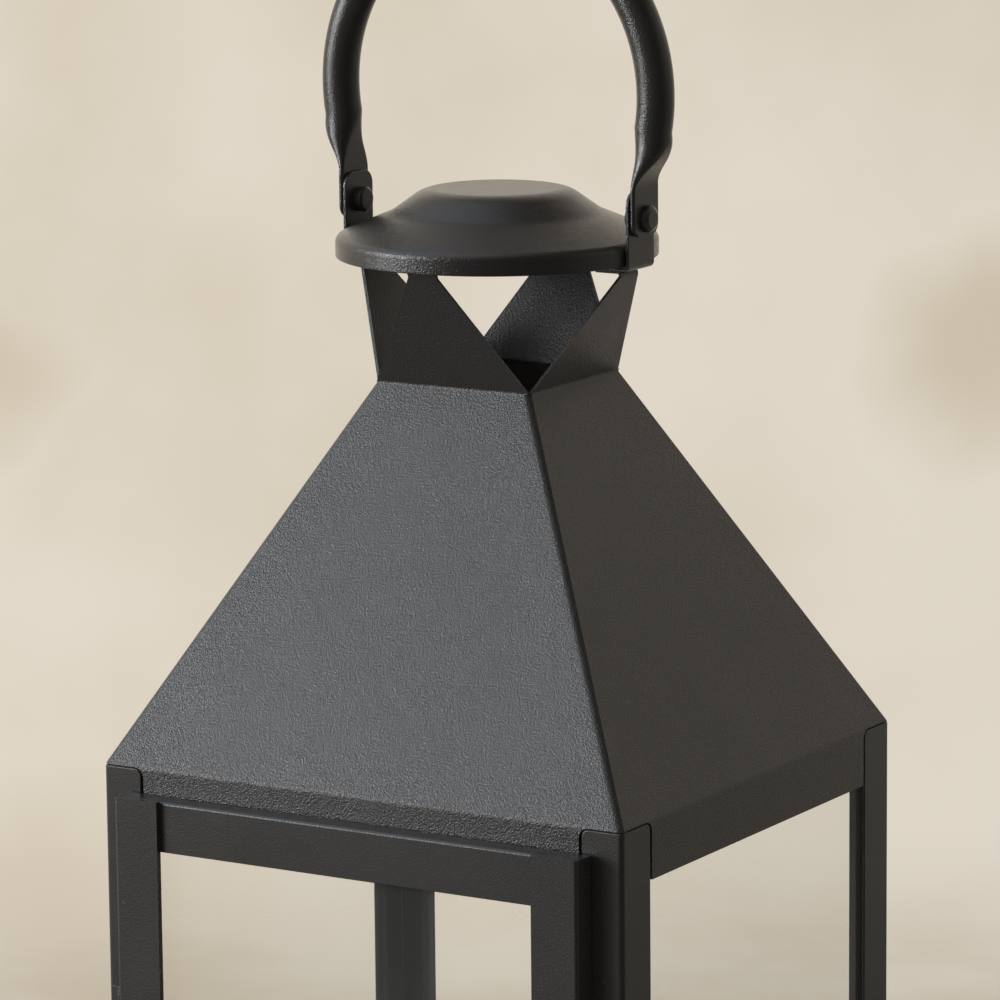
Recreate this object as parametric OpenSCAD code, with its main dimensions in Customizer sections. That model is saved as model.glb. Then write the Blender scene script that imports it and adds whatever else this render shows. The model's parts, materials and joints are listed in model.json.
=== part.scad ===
// Square candle lantern in black powder-coated sheet steel: a glazed body with a
// hinged overlay door, a pyramid roof whose panels run up into four chimney flaps,
// a spun cap over them, and a tubular bail that swings on two rivets.
// Millimetres. Origin at the middle of the body on the table, +Z up, door towards -Y.

/* [Body] */
// Width of the body, left to right
body_w = 200; // [160:1:260]
// Depth of the body, door to back
body_d = 184; // [150:1:240]
// Height of the roof's eave above the table
eave_h = 300; // [220:1:420]
// Thickness of the sheet steel
sheet_t = 1; // [0.8:0.05:1.2]
// Height of the walls of the base tray
tray_wall_h = 19.3; // [12:0.1:30]
// Height of the roof's skirt below the eave
skirt_h = 19.3; // [14:0.1:30]

/* [Corner posts] */
// Width of a post's flange in the front and back faces
post_face_w = 15; // [13:0.5:20]
// Width of a post's flange in the left and right faces
post_side_w = 18; // [14:0.5:22]
// Outer radius of the posts' long bend
post_bend_r = 1.8; // [1.3:0.1:3]
// Radius of the rounded corner at a flange's end
post_corner_r = 2.4; // [1:0.1:4]
// Gap between a flange's edge and the skirt or tray wall beside it
seam_gap = 1; // [0.8:0.1:3]
// Gap between a post's top and the roof
post_top_gap = 0.5; // [0.4:0.1:0.9]

/* [Roof] */
// Height of the roof's slope, eave to neck
roof_h = 125.7; // [80:0.1:170]
// Side of the square neck
neck_w = 59.5; // [50:0.1:76]
// Outer radius of the bend at the eave
eave_bend_r = 4; // [2:0.1:8]
// Radius of the bend at the neck
neck_bend_r = 1.5; // [0.8:0.1:4]
// How far the front and back panels stop short of the hip
hip_cut = 0; // [0:0.1:0.4]
// How far the left and right panels stop short of the hip
hip_lap = 1.6; // [1.5:0.1:2]
// Width of the hip flange behind a front or back panel
hip_flange_w = 9; // [6:0.5:14]
// Depth of the hip flange behind a front or back panel's face
hip_groove = 1.8; // [1.7:0.1:2.4]
// Outward lean of the front and back flaps, per unit of height
flare_face = 0.45; // [0.3:0.01:0.6]
// Outward lean of the left and right flaps, per unit of height
flare_side = 0.57; // [0.45:0.01:0.6]
// Inward taper of a flap's edges, per unit of height
flap_taper = 0.615; // [0.45:0.005:0.66]
// Length of the tab at a flap's tip
flap_tab = 11; // [7:0.5:14]

/* [Cap] */
// Radius of the cap
cap_r = 54; // [52:0.1:56]
// Height of the cap's rim above the neck
cap_rise = 40.5; // [34:0.1:48]
// Height of the cap's shoulder above its rim
cap_shoulder_h = 7.2; // [5:0.1:9]
// Radius of the cap's valley
cap_valley_r = 35.4; // [32:0.1:40]
// Height of the valley above the rim
cap_valley_h = 15; // [13:0.1:18]
// Radius of the crown
cap_crown_r = 24.5; // [18:0.1:28]
// Height of the crown above the rim
cap_crown_h = 22.8; // [20:0.1:28]
// Thickness of the spun sheet
cap_t = 1; // [0.8:0.1:1.2]

/* [Bail] */
// Diameter of the bail's tube
tube_d = 12.5; // [9:0.1:14]
// Wall of the bail's tube
tube_wall = 0.9; // [0.7:0.1:2]
// Radius of the bail's ring, at the middle of the tube
ring_r = 61; // [58:0.1:70]
// Height of the ring's middle above the rivets
ring_rise = 40; // [36:0.5:60]
// Thickness of the flattened ends
blade_t = 1.8; // [1.4:0.1:2.6]
// Width of the flattened ends
blade_w = 16.6; // [14:0.1:19]
// Distance from the rivet down to the flattened end's tip
blade_end = 5.6; // [5:0.1:9]
// Width of the strap that carries the bail
strap_w = 17; // [14:0.5:19]
// Thickness of the strap
strap_t = 1.2; // [1:0.1:2]
// Height of the rivets above the cap's rim
rivet_rise = 15.8; // [14:0.1:20]
// Height of the strap's ears above the rivets
ear_top = 9.5; // [8:0.5:12]
// Diameter of the bail's rivets
rivet_d = 5; // [3:0.1:6]
// Diameter of a rivet's outer head
rivet_head_d = 9; // [7:0.1:11]
// Height of a rivet's outer head
rivet_head_h = 2.5; // [1.6:0.1:4]

/* [Door] */
// Margin between the door and the body's sides
door_margin_x = 11; // [10.5:0.1:13]
// Margin above and below the door
door_margin_z = 8.3; // [4:0.1:11]
// Distance from the body's front to the door's front
door_proud = 10; // [9.5:0.1:14]
// Width of the stiles
stile_w = 17; // [14:0.5:24]
// Height of the top and bottom rails
rail_w = 17.2; // [14:0.1:26]
// Gap between the door's back edge and the posts
door_gap = 1; // [0.6:0.1:1.5]
// Bend radius of the door's edges
door_bend_r = 1.2; // [1.2:0.1:2]
// Width of the folded hem along the frame's inner edge
hem_w = 4; // [3:0.5:6]

/* [Hinges and latch] */
// Radius of the hinge knuckles
knuckle_r = 2.5; // [2.2:0.1:2.8]
// Diameter of the hinge pins
pin_d = 2.4; // [2:0.1:3]
// Height of a hinge
hinge_h = 28; // [22:1:40]
// Distance from the door's end to a hinge
hinge_inset = 68; // [40:1:90]
// Height of the latch above the table
latch_h = 150; // [110:1:190]
// Length of the latch lever, from its rivet to its tip
lever_l = 16.5; // [15:0.1:18]
// Width of the latch lever
lever_w = 8; // [6:0.5:10]
// Thickness of the latch lever and its keeper
lever_t = 1.4; // [1:0.1:1.6]
// Diameter of the latch's rivet
latch_rivet_d = 3; // [2.5:0.1:4]

/* [Glass] */
// Thickness of the panes
glass_t = 2; // [1.5:0.1:3]
// How far a pane reaches behind the skirts and the door's rails
glass_lap = 8; // [6:0.5:11]
// How far a fixed pane reaches behind the posts' flanges
pane_lap = 4; // [3:0.5:6]
// Height of a glass clip
clip_h = 12; // [8:1:20]

/* [Hidden] */

$fn = 96;
// Gap between pieces that are seated on each other
seat = 0.05;
// Radial clearance of a pin in its bore
run_gap = 0.05;
// Small overlap that makes a cut or a joint within one piece complete
bite = 0.01;
// Steps in a bend of a sheet
bend_steps = 6;

half_w = body_w / 2;
half_d = body_d / 2;
neck_half = neck_w / 2;
neck_z = eave_h + roof_h;
rim_z = neck_z + cap_rise;
rivet_z = rim_z + rivet_rise;

// Levels along the fixed panes and the rails behind the skirt
tray_bend_r = sheet_t + 0.4;
pane_bottom = tray_bend_r + seat;
pane_top = eave_h - skirt_h + glass_lap;
pane_depth = glass_t + 2 * seat;
head_rail_bottom = pane_top + 0.5;
head_rail_top = eave_h - 0.7;
head_rail_inset = sheet_t + seat;

// The fixed panes lap the posts' flanges, and clips on the flanges hold their edges
clip_foot = 5;
clip_finger = pane_lap - 0.6;
clip_t = 0.8;
clip_gap = 0.3;
side_pane_half = half_d - post_side_w + pane_lap;
back_pane_half = half_w - post_face_w + pane_lap;
clip_levels_side = [0.2 * eave_h, 0.5 * eave_h - clip_h];
clip_levels_back = [0.3 * eave_h, 0.55 * eave_h - clip_h];

// Lean of the two pairs of roof slopes, as run per unit of height
run_face = (half_d - neck_half) / roof_h;
run_side = (half_w - neck_half) / roof_h;
face_flap_gap = 0.4;
side_flap_gap = sheet_t + 0.2;
skirt_half_face = half_w - post_face_w - seam_gap;
skirt_half_side = half_d - post_side_w - seam_gap;
notch_r = post_corner_r + seam_gap;

// The strap runs under the rim and turns up outside it
strap_z = rim_z - seat - strap_t;
ear_gap = 0.25;
blade_gap = 0.2;
ear_in_x = cap_r + ear_gap;
ear_out_x = ear_in_x + strap_t;
blade_in_x = ear_out_x + blade_gap;
blade_out_x = blade_in_x + blade_t;
strap_bend_r = strap_t + 0.8;

// The ring opens into legs that drop to the flattened ends
ring_z = rivet_z + ring_rise;
leg_angle = 10;
blade_top = 9.6;
waist_z = 19;
waist_w = 15;
waist_t = 7.5;
blade_corner_r = 4;
ear_round_r = 5;
slab_h = 0.2;

// The door's planes, from its front face back
door_front = -half_d - door_proud;
door_back = -half_d - door_gap;
door_half_w = half_w - door_margin_x;
door_bottom = door_margin_z;
door_top = eave_h - door_margin_z;
rail_front = door_front + 2 * sheet_t;
door_pane_front = rail_front + 2 * sheet_t + seat;
door_clip_foot = 3.6;
door_clip_finger = 8;
door_pane_half_w = door_half_w - sheet_t - seat - door_clip_foot - clip_gap;
door_pane_lap = glass_lap + 3;
door_pane_bottom = door_bottom + rail_w - door_pane_lap;
door_pane_top = door_top - rail_w + door_pane_lap;

// The hinge's axis touches the door's side and the posts' front
hinge_x = -door_half_w - seat - knuckle_r;
hinge_y = -half_d - seat - knuckle_r;
leaf_t = 1;
leaf_out_x = -half_w + post_bend_r;
knuckle_gap = 0.35;
leaf_gap = 0.1;
knuckle_end = 8;

latch_x = door_half_w - stile_w / 2;
lever_front = door_front - seat - lever_t;
keeper_in_x = door_half_w + 1.4;
keeper_out_x = half_w - post_bend_r;
lip_gap = 0.6;
stop_gap = 0.3;

steel = "#2b2a29";
pane_tint = [0.75, 0.85, 0.86, 0.35];

// Direction and outward normal of a run of sheet, in a section's own plane
function unit(v) = v / norm(v);
function flat(p) = [p[0], p[1]];
function normal_of(d) = [d[1], -d[0]];
function turned(d, a) = [d[0] * cos(a) - d[1] * sin(a), d[0] * sin(a) + d[1] * cos(a)];

// One bend of a sheet: pairs of a point on the outer face and its normal.
// A corner is [across, up, bend radius].
function bend(a, v, b) =
    let (
        d1 = unit(flat(v) - flat(a)),
        d2 = unit(flat(b) - flat(v)),
        turn = atan2(d1[0] * d2[1] - d1[1] * d2[0], d1 * d2),
        side = turn > 0 ? 1 : -1,
        start = flat(v) - d1 * v[2] * tan(abs(turn) / 2),
        centre = start - side * v[2] * normal_of(d1)
    )
    [for (i = [0:bend_steps])
        let (n = normal_of(turned(d1, turn * i / bend_steps)))
        [centre + side * v[2] * n, n]];

function outer_face(path) =
    let (
        last = len(path) - 1,
        first_n = normal_of(unit(flat(path[1]) - flat(path[0]))),
        last_n = normal_of(unit(flat(path[last]) - flat(path[last - 1])))
    )
    concat(
        [[flat(path[0]), first_n]],
        [for (i = [1:last - 1]) each bend(path[i - 1], path[i], path[i + 1])],
        [[flat(path[last]), last_n]]
    );

// Section of a bent sheet: its outer face follows the path, its thickness lies inside.
// A round start adds half a circle at the path's first point.
module sheet_section(path, t, round_start = false) {
    face = outer_face(path);
    count = len(face);
    first_n = face[0][1];
    centre = face[0][0] - t / 2 * first_n;
    along = [-first_n[1], first_n[0]];
    polygon(concat(
        [for (p = face) p[0]],
        [for (i = [1:count]) face[count - i][0] - t * face[count - i][1]],
        round_start ? [for (a = [30:30:150]) centre - t / 2 * (cos(a) * first_n + sin(a) * along)] : []
    ));
}

// A section drawn as [outwards, up], extruded along X and facing -Y
module along_x(width) {
    rotate([90, 0, -90]) linear_extrude(height = width, center = true) children();
}

// A front view drawn as [across, up], extruded along Y
module along_y(depth) {
    rotate([90, 0, 0]) linear_extrude(height = depth, center = true) children();
}

// A box from its low corner to its high corner
module block(low, high) {
    translate(low) cube(high - low);
}

// Repeats the children on the other side of the plane x = 0
module both_sides() {
    children();
    mirror([1, 0, 0]) children();
}

// Base tray: floor and four walls, notched at the corners for the posts

module tray_run(half_across, half_out) {
    walls = [
        [-half_out, tray_wall_h, 0],
        [-half_out, 0, tray_bend_r],
        [half_out, 0, tray_bend_r],
        [half_out, tray_wall_h, 0]
    ];
    along_x(2 * half_across) sheet_section(walls, sheet_t);
}

module base_tray() {
    inner_w = half_w - sheet_t - seat;
    inner_d = half_d - sheet_t - seat;
    corner_w = half_w - post_bend_r - seat;
    corner_d = half_d - post_bend_r - seat;
    color(steel) {
        tray_run(skirt_half_face, half_d);
        rotate([0, 0, 90]) tray_run(skirt_half_side, half_w);
        block([-inner_w, -corner_d, 0], [inner_w, corner_d, sheet_t]);
        block([-corner_w, -inner_d, 0], [corner_w, inner_d, sheet_t]);
    }
}

// Corner posts: bent angles with a rounded corner at each end of both flanges

module post_section() {
    path = [
        [-post_face_w, 0, 0],
        [0, 0, post_bend_r],
        [0, post_side_w, 0]
    ];
    sheet_section(path, sheet_t);
}

module post() {
    height = eave_h - post_top_gap;
    color(steel)
    difference() {
        linear_extrude(height = height) post_section();
        for (end = [0, 1])
            translate([0, 0, end * height]) mirror([0, 0, end]) {
                corner_cut(post_face_w);
                mirror([1, 1, 0]) corner_cut(post_side_w);
            }
    }
}

// Waste outside the rounded corner of a flange that runs along -X
module corner_cut(width) {
    r = post_corner_r;
    depth = 4 * sheet_t;
    translate([-width, 0, 0])
    difference() {
        block([-1, -depth, -1], [r, depth, r]);
        translate([r, 0, r]) rotate([90, 0, 0]) cylinder(r = r, h = 3 * depth, center = true);
    }
}

// Places a post in its corner: sx and sy are the corner's signs
module post_at(sx, sy) {
    translate([sx * half_w, sy * half_d, 0])
        mirror([sx > 0 ? 0 : 1, 0, 0])
        mirror([0, sy > 0 ? 1 : 0, 0])
        post();
}

module post_front_left() { post_at(-1, -1); }
module post_front_right() { post_at(1, -1); }
module post_back_left() { post_at(-1, 1); }
module post_back_right() { post_at(1, 1); }

// Head rails: flat strips behind the skirts that tie the posts and the roof together

module head_rail(half_length, out) {
    block(
        [-half_length, -out, head_rail_bottom],
        [half_length, -out + sheet_t, head_rail_top]
    );
}

module head_rail_face() {
    color(steel) head_rail(half_w - post_bend_r - seat, half_d - head_rail_inset);
}

module head_rail_side() {
    short = half_d - 2 * head_rail_inset;
    color(steel) rotate([0, 0, 90]) head_rail(short, half_w - head_rail_inset);
}

module head_rail_front() { head_rail_face(); }
module head_rail_back() { rotate([0, 0, 180]) head_rail_face(); }
module head_rail_right() { head_rail_side(); }
module head_rail_left() { rotate([0, 0, 180]) head_rail_side(); }

// Roof panels: each is one bent sheet with a skirt, a slope, a chimney flap and a tab

// The brim's underside, as height at the axis and fall per unit of radius
brim_fall = (cap_valley_h - cap_shoulder_h) / (cap_r - cap_valley_r);
tab_gap = 0.3;
brim_under = rim_z + cap_shoulder_h + brim_fall * cap_r
    - (cap_t + tab_gap) * sqrt(1 + brim_fall * brim_fall);
face_tip_z = (brim_under - brim_fall * (neck_half - flare_face * neck_z))
    / (1 + brim_fall * flare_face);
side_tip_z = strap_z - seat;
tab_bend_r = sheet_t + 0.6;
tab_half = 5.5;

function flap_u(flare, z) = neck_half + flare * (z - neck_z);

function panel_path(out, flare, tip_z, tab_slope) =
    let (tip_u = flap_u(flare, tip_z))
    [
        [out, eave_h - skirt_h, 0],
        [out, eave_h, eave_bend_r],
        [neck_half, neck_z, neck_bend_r],
        [tip_u, tip_z, tab_bend_r],
        [tip_u - flap_tab, tip_z + flap_tab * tab_slope, 0]
    ];

// Half of the panel's outline seen square on
function panel_half_view(half, skirt_half, cut, flap_gap) =
    let (
        narrow_z = neck_z + (neck_half - flap_gap - tab_half) / flap_taper,
        centre = [skirt_half + notch_r, eave_h - notch_r]
    )
    concat(
        [[skirt_half, eave_h - skirt_h - 1]],
        [for (i = [0:bend_steps])
            let (a = 180 - 90 * i / bend_steps)
            centre + notch_r * [cos(a), sin(a)]],
        [
            [half - cut, eave_h],
            [neck_half - cut, neck_z],
            [neck_half - flap_gap, neck_z],
            [tab_half, narrow_z],
            [tab_half, rim_z + cap_crown_h]
        ]
    );

module panel_view(half, skirt_half, cut, flap_gap) {
    right = panel_half_view(half, skirt_half, cut, flap_gap);
    count = len(right);
    polygon(concat(right, [for (i = [1:count]) [-right[count - i][0], right[count - i][1]]]));
}

flange_stop_low = 6;
flange_stop_high = 4;

module face_panel() {
    path = panel_path(half_d, flare_face, face_tip_z, brim_fall);
    color(steel)
    intersection() {
        along_x(2 * body_w) sheet_section(path, sheet_t);
        along_y(2 * body_d) panel_view(half_w, skirt_half_face, hip_cut, face_flap_gap);
    }
}

// Flange of a side panel that lies behind a front or back panel's hip edge.
// It is drawn for the right-hand panel, at its front.
module hip_flange() {
    low = eave_h + flange_stop_low;
    high = neck_z - flange_stop_high;
    u_low = half_d - run_face * (low - eave_h) - hip_groove;
    u_high = half_d - run_face * (high - eave_h) - hip_groove;
    x_low = half_w - run_side * (low - eave_h) - bite;
    x_high = half_w - run_side * (high - eave_h) - bite;
    flange_depth = sheet_t * sqrt(1 + run_face * run_face);
    intersection() {
        along_x(2 * body_w) polygon([
            [u_low, low], [u_high, high], [u_high - flange_depth, high], [u_low - flange_depth, low]
        ]);
        along_y(2 * body_d) polygon([
            [x_low, low], [x_high, high], [x_high - hip_flange_w, high], [x_low - hip_flange_w, low]
        ]);
    }
}

module side_panel() {
    path = panel_path(half_w, flare_side, side_tip_z, 0);
    color(steel) {
        rotate([0, 0, 90])
        intersection() {
            along_x(2 * body_d) sheet_section(path, sheet_t);
            along_y(2 * body_w) panel_view(half_d, skirt_half_side, hip_lap, side_flap_gap);
        }
        hip_flange();
        mirror([0, 1, 0]) hip_flange();
    }
}

module roof_front() { face_panel(); }
module roof_back() { rotate([0, 0, 180]) face_panel(); }
module roof_right() { side_panel(); }
module roof_left() { rotate([0, 0, 180]) side_panel(); }

// Cap: one spun sheet with a rolled rim, a sloping brim, a valley and a flat crown

module chimney_cap() {
    shoulder_r = 3;
    valley_r = 14;
    crown_r = 12;
    path = [
        [cap_r, rim_z + cap_t / 2, 0],
        [cap_r, rim_z + cap_shoulder_h, shoulder_r],
        [cap_valley_r, rim_z + cap_valley_h, valley_r],
        [cap_crown_r, rim_z + cap_crown_h, crown_r],
        [0, rim_z + cap_crown_h, 0]
    ];
    color(steel) rotate_extrude() sheet_section(path, cap_t, true);
}

// Bail strap: a flat bar under the cap, turned up outside the rim as two ears

module bail_strap() {
    ear_z = rivet_z + ear_top;
    path = [
        [-ear_out_x, ear_z, 0],
        [-ear_out_x, strap_z, strap_bend_r],
        [ear_out_x, strap_z, strap_bend_r],
        [ear_out_x, ear_z, 0]
    ];
    color(steel)
    difference() {
        rotate([0, 0, 90]) along_x(strap_w) sheet_section(path, strap_t);
        for (side = [0, 1])
            mirror([0, side, 0]) translate([0, strap_w / 2, ear_z]) ear_corner(ear_round_r);
        translate([0, 0, rivet_z]) rotate([0, 90, 0])
            cylinder(d = rivet_d + 2 * run_gap, h = 3 * body_w, center = true);
    }
}

// Waste outside the rounded top corner of both ears
module ear_corner(r) {
    difference() {
        block([-body_w, -r, -r], [body_w, 1, 1]);
        translate([0, -r, -r]) rotate([0, 90, 0]) cylinder(r = r, h = 3 * body_w, center = true);
    }
}

// Bail rivets: a domed outer head, a shank through blade and ear, a tall inner head

module bail_rivet_right() {
    head_r = rivet_head_d / 2;
    inner_r = head_r - 0.2;
    inner_h = 3.2;
    dome = 0.8;
    reach = blade_out_x + seat - (ear_in_x - seat);
    color(steel)
    translate([ear_in_x - seat, 0, rivet_z]) rotate([0, 90, 0])
    rotate_extrude()
    polygon(concat(
        [[0, -inner_h]],
        [for (a = [0:15:75]) [inner_r - dome + dome * sin(a), -inner_h + dome - dome * cos(a)]],
        [[inner_r, -inner_h + dome], [inner_r, 0], [rivet_d / 2, 0]],
        [[rivet_d / 2, reach], [head_r, reach]],
        [for (a = [0:15:90]) [head_r - dome + dome * cos(a), reach + rivet_head_h - dome + dome * sin(a)]],
        [[0, reach + rivet_head_h]]
    ));
}

module bail_rivet_left() {
    mirror([1, 0, 0]) bail_rivet_right();
}

// Bail: a ring of tube whose two legs are pressed flat round the rivets

module tube_section() {
    difference() {
        circle(d = tube_d);
        circle(d = tube_d - 2 * tube_wall);
    }
}

module leg_slab(z, in_x, out_x, width) {
    translate([in_x, -width / 2, rivet_z + z]) cube([out_x - in_x, width, slab_h]);
}

// The leg's half-round section where it swells from the pressed part to the tube
module leg_waist() {
    out_x = blade_in_x + waist_t;
    leg_slab(waist_z, blade_in_x, out_x - 0.2 * waist_t, 0.83 * waist_w);
    leg_slab(waist_z, blade_in_x + 0.15 * waist_t, out_x - 0.35 * waist_t, waist_w);
    leg_slab(waist_z, blade_in_x + 0.25 * waist_t, out_x, 0.55 * waist_w);
}

module bail_leg() {
    end_x = ring_r * cos(leg_angle);
    end_z = ring_z - ring_r * sin(leg_angle);
    hull() {
        leg_slab(blade_top - slab_h, blade_in_x, blade_out_x, blade_w);
        leg_waist();
    }
    hull() {
        leg_waist();
        translate([end_x, 0, end_z]) rotate([0, leg_angle, 0])
            cylinder(d = tube_d - 2 * seat, h = slab_h, $fn = 32);
    }
}

// Pressed end of a leg, drawn across and up from the rivet
module blade_view() {
    half = blade_w / 2;
    centre = [half - blade_corner_r, -blade_end + blade_corner_r];
    arc = [for (a = [-90:15:0]) centre + blade_corner_r * [cos(a), sin(a)]];
    count = len(arc);
    polygon(concat(
        arc,
        [[half, blade_top], [-half, blade_top]],
        [for (i = [1:count]) [-arc[count - i][0], arc[count - i][1]]]
    ));
}

module bail_blade() {
    difference() {
        translate([blade_in_x, 0, rivet_z]) rotate([90, 0, 90])
            linear_extrude(height = blade_t) blade_view();
        translate([0, 0, rivet_z]) rotate([0, 90, 0])
            cylinder(d = rivet_d + 2 * run_gap, h = body_w);
    }
}

module bail() {
    sweep = 180 + 2 * leg_angle;
    color(steel) {
        translate([0, 0, ring_z]) rotate([90, 0, 0]) rotate([0, 0, -leg_angle])
            rotate_extrude(angle = sweep) translate([ring_r, 0]) tube_section();
        both_sides() {
            bail_leg();
            bail_blade();
        }
    }
}

// Fixed panes: they stand in the tray behind the posts, and end behind the skirts

module side_pane() {
    face = half_w - sheet_t - seat;
    color(pane_tint)
    block([face - glass_t, -side_pane_half, pane_bottom], [face, side_pane_half, pane_top]);
}

module back_pane() {
    face = half_d - sheet_t - seat;
    color(pane_tint)
    block([-back_pane_half, face - glass_t, pane_bottom], [back_pane_half, face, pane_top]);
}

module glass_left() { mirror([1, 0, 0]) side_pane(); }
module glass_right() { side_pane(); }
module glass_back() { back_pane(); }

// Glass clips: bent strips with a foot on the frame, a step and a finger on the pane

// Section of a clip as [along the pane, away from the frame]; the pane ends at 0
module clip_section(foot, finger, depth) {
    finger_y = depth + seat;
    step_x = clip_gap + clip_t;
    square_at([clip_gap, seat], [foot, seat + clip_t]);
    square_at([clip_gap, seat], [step_x, finger_y + clip_t]);
    square_at([-finger, finger_y], [step_x, finger_y + clip_t]);
}

module square_at(low, high) {
    translate(low) square(high - low);
}

// Two clips on each upright edge of a pane that faces -Y, at the given heights
module clips(half, face, foot, finger, depth, levels) {
    for (z = levels)
        both_sides()
            translate([half, face, z]) linear_extrude(height = clip_h)
                clip_section(foot, finger, depth);
}

module side_clips() {
    color(steel) rotate([0, 0, 90])
        clips(side_pane_half, -half_w + sheet_t, clip_foot, clip_finger, pane_depth, clip_levels_side);
}

module glass_clips_right() { side_clips(); }
module glass_clips_left() { rotate([0, 0, 180]) side_clips(); }
module glass_clips_back() {
    color(steel) rotate([0, 0, 180])
        clips(back_pane_half, -half_d + sheet_t, clip_foot, clip_finger, pane_depth, clip_levels_back);
}

// Door: two stiles over the ends of two rails, with a pane clipped behind them

module stile_section() {
    inner = door_half_w - stile_w;
    path = [
        [inner, door_front, 0],
        [door_half_w, door_front, door_bend_r],
        [door_half_w, door_back, 0]
    ];
    sheet_section(path, sheet_t);
    square_at([inner, door_front + sheet_t - bite], [inner + hem_w, door_front + 2 * sheet_t]);
}

// A stile on the right: its section, closed by a small lip at each end
module door_stile() {
    lip = sheet_t;
    translate([0, 0, door_bottom]) linear_extrude(height = door_top - door_bottom) stile_section();
    for (z = [door_bottom, door_top - lip])
        block(
            [door_half_w - stile_w, door_front + bite, z],
            [door_half_w - door_bend_r, rail_front - seat, z + lip]
        );
}

module door_stile_right() {
    color(steel)
    difference() {
        door_stile();
        translate([latch_x, door_front, latch_h]) rotate([90, 0, 0])
            cylinder(d = latch_rivet_d + 2 * run_gap, h = 4 * sheet_t, center = true);
    }
}

module door_stile_left() {
    color(steel) mirror([1, 0, 0]) door_stile();
}

// Section of a rail as [outwards, up] from its inner edge, its return at the top
module rail_section() {
    front = -rail_front - seat;
    path = [
        [front, 0, 0],
        [front, rail_w, door_bend_r],
        [-door_back, rail_w, 0]
    ];
    sheet_section(path, sheet_t);
    square_at([front - 2 * sheet_t, 0], [front - sheet_t + bite, hem_w]);
}

module door_rail() {
    half = door_half_w - sheet_t - seat;
    color(steel) along_x(2 * half) rail_section();
}

module door_rail_top() {
    translate([0, 0, door_top - rail_w]) door_rail();
}

module door_rail_bottom() {
    translate([0, 0, door_bottom + rail_w]) mirror([0, 0, 1]) door_rail();
}

module door_glass() {
    color(pane_tint)
    block(
        [-door_pane_half_w, door_pane_front + seat, door_pane_bottom],
        [door_pane_half_w, door_pane_front + seat + glass_t, door_pane_top]
    );
}

module door_glass_clips() {
    foot_face = door_front + sheet_t;
    depth = door_pane_front + seat + glass_t - foot_face;
    from_end = 0.22 * eave_h;
    levels = [door_bottom + from_end, door_top - from_end - clip_h];
    color(steel)
        clips(door_pane_half_w, foot_face, door_clip_foot, door_clip_finger, depth, levels);
}

// Hinges: weld-on butt hinges, one knuckle on the door between two on the frame

function hinge_low(upper) =
    upper ? door_top - hinge_inset - hinge_h : door_bottom + hinge_inset;

module knuckle(z0, z1) {
    translate([hinge_x, hinge_y, z0]) cylinder(r = knuckle_r, h = z1 - z0);
}

module pin_bore(z0) {
    translate([hinge_x, hinge_y, z0 - 1]) cylinder(d = pin_d + 2 * run_gap, h = hinge_h + 2);
}

module frame_leaf(upper) {
    z0 = hinge_low(upper);
    z1 = z0 + hinge_h;
    back = -half_d - seat;
    color(steel)
    difference() {
        union() {
            block([leaf_out_x, back - leaf_t, z0], [hinge_x - knuckle_r - leaf_gap, back, z1]);
            for (z = [z0, z1 - knuckle_end]) {
                knuckle(z, z + knuckle_end);
                block([leaf_out_x, back - leaf_t, z], [hinge_x, back, z + knuckle_end]);
            }
        }
        pin_bore(z0);
    }
}

module door_leaf(upper) {
    z0 = hinge_low(upper);
    z1 = z0 + hinge_h;
    low = z0 + knuckle_end + knuckle_gap;
    high = z1 - knuckle_end - knuckle_gap;
    side = -door_half_w - seat;
    front = door_front + door_bend_r;
    color(steel)
    difference() {
        union() {
            block([side - leaf_t, front, z0], [side, hinge_y - knuckle_r - leaf_gap, z1]);
            knuckle(low, high);
            block([side - leaf_t, front, low], [side, hinge_y, high]);
        }
        pin_bore(z0);
    }
}

module hinge_pin(upper) {
    z0 = hinge_low(upper);
    tip = 0.6;
    head_h = 0.9;
    head_r = knuckle_r - 0.3;
    color(steel) {
        translate([hinge_x, hinge_y, z0 - tip]) cylinder(d = pin_d, h = tip + hinge_h + seat + bite);
        translate([hinge_x, hinge_y, z0 + hinge_h + seat]) cylinder(r = head_r, h = head_h);
    }
}

module hinge_upper_frame_leaf() { frame_leaf(true); }
module hinge_upper_door_leaf() { door_leaf(true); }
module hinge_upper_pin() { hinge_pin(true); }
module hinge_lower_frame_leaf() { frame_leaf(false); }
module hinge_lower_door_leaf() { door_leaf(false); }
module hinge_lower_pin() { hinge_pin(false); }

// Latch: a lever that hangs from its rivet, and swings up behind the keeper's lip

module latch_lever() {
    round_r = lever_w / 2;
    boss_r = round_r + 1.4;
    tail = 8;
    tab_out = 6;
    color(steel)
    translate([latch_x, lever_front, latch_h])
    difference() {
        union() {
            rotate([-90, 0, 0]) cylinder(r = boss_r, h = lever_t);
            translate([0, 0, -lever_l + round_r]) rotate([-90, 0, 0]) cylinder(r = round_r, h = lever_t);
            block([-round_r, 0, -lever_l + round_r], [round_r, lever_t, tail]);
            block([-round_r, -tab_out, tail - lever_t], [round_r, bite, tail]);
        }
        rotate([90, 0, 0]) cylinder(d = latch_rivet_d + 2 * run_gap, h = 4 * lever_t, center = true);
    }
}

module latch_rivet() {
    shank_r = latch_rivet_d / 2;
    head_r = 3;
    front_h = 1.6;
    back_h = 0.8;
    reach = sheet_t + seat + lever_t + 2 * seat;
    dome = 0.8;
    color(steel)
    translate([latch_x, door_front + sheet_t + seat, latch_h]) rotate([90, 0, 0])
    rotate_extrude()
    polygon(concat(
        [[0, -back_h], [head_r - 0.4, -back_h], [head_r - 0.4, 0], [shank_r, 0]],
        [[shank_r, reach], [head_r, reach]],
        [for (a = [0:15:90]) [head_r - dome + dome * cos(a), reach + front_h - dome + dome * sin(a)]],
        [[0, reach + front_h]]
    ));
}

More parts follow.
